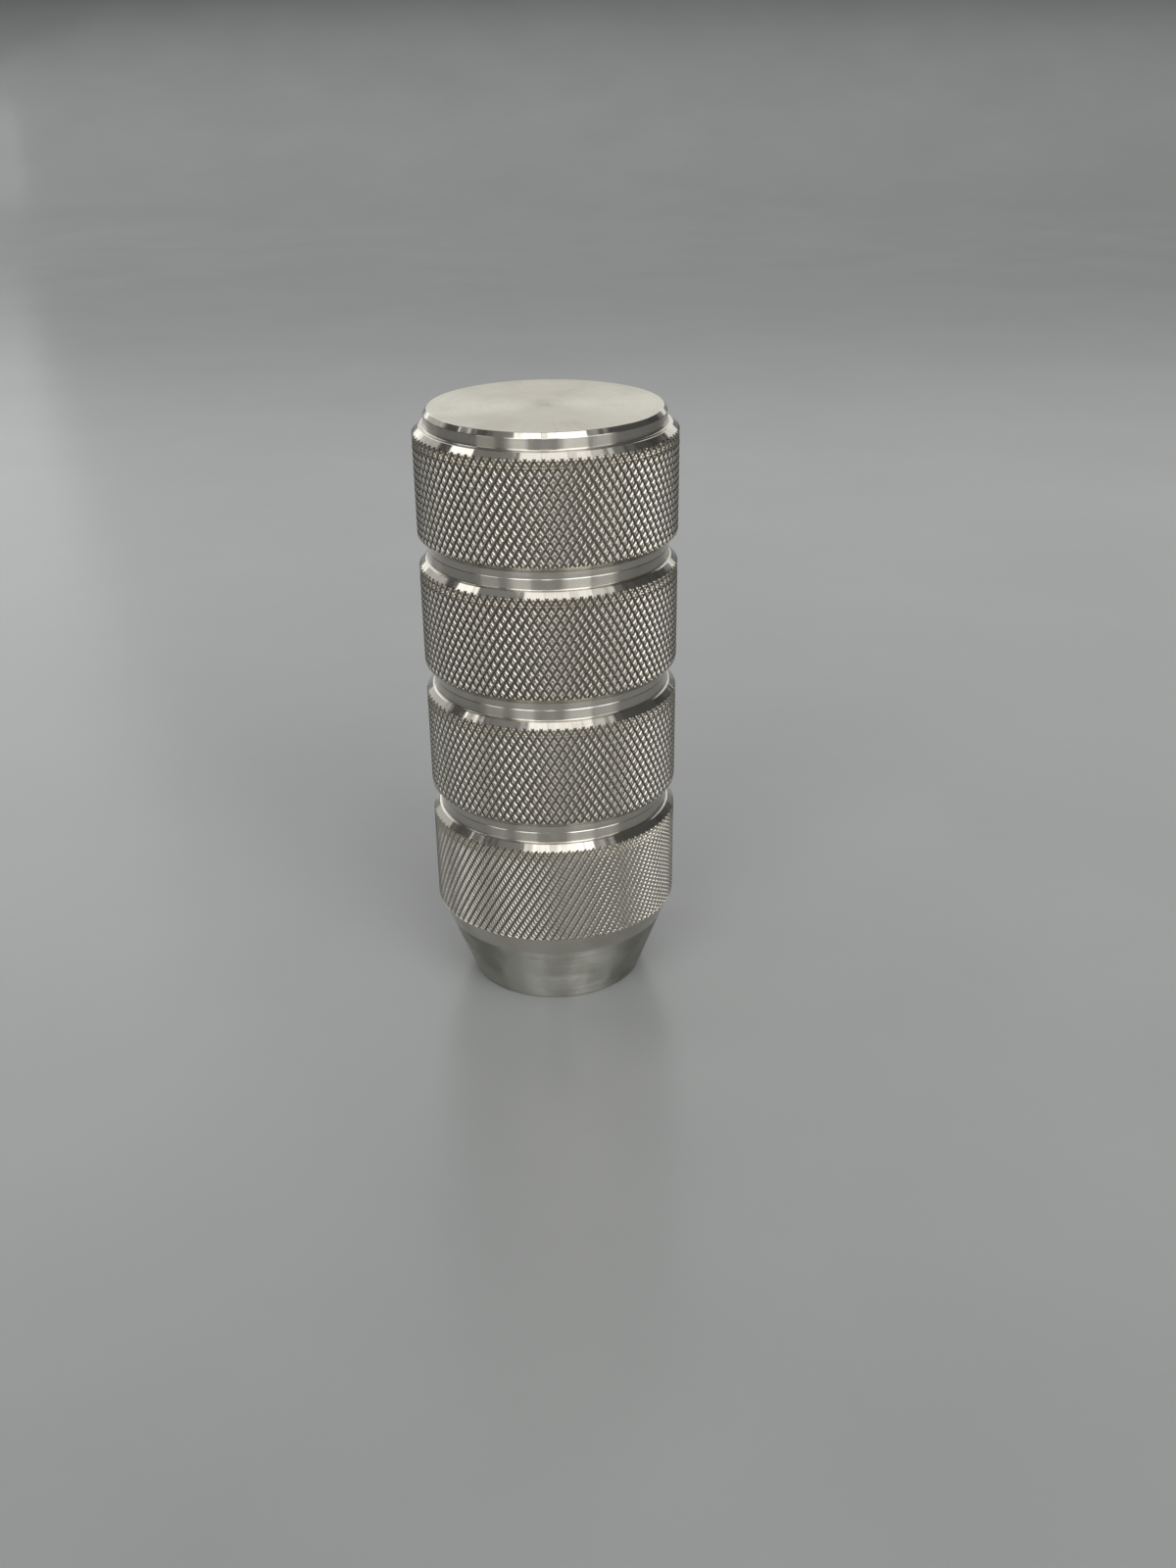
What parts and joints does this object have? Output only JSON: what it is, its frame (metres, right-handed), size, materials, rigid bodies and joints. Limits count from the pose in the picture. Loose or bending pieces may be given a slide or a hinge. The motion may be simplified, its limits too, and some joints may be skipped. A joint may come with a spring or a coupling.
{
  "type": "knurled knob",
  "caption": "Slim upright lever knob turned from aluminium, with diamond-knurled grip bands between plain grooves and a tapped hole in its narrow foot.",
  "frame": {"origin": "centre of the foot's flat face, which is also the mouth of the tapped hole", "axes": "+Z along the knob's axis, from the foot towards the top face; X and Y are free, because the knob is round"},
  "size_m": [0.04, 0.04, 0.094],
  "materials": {
    "turned_aluminium": "bare turned metal with knurled bands"
  },
  "bodies": {
    "root": {"knob": "turned_aluminium"}
  },
  "joints": []
}
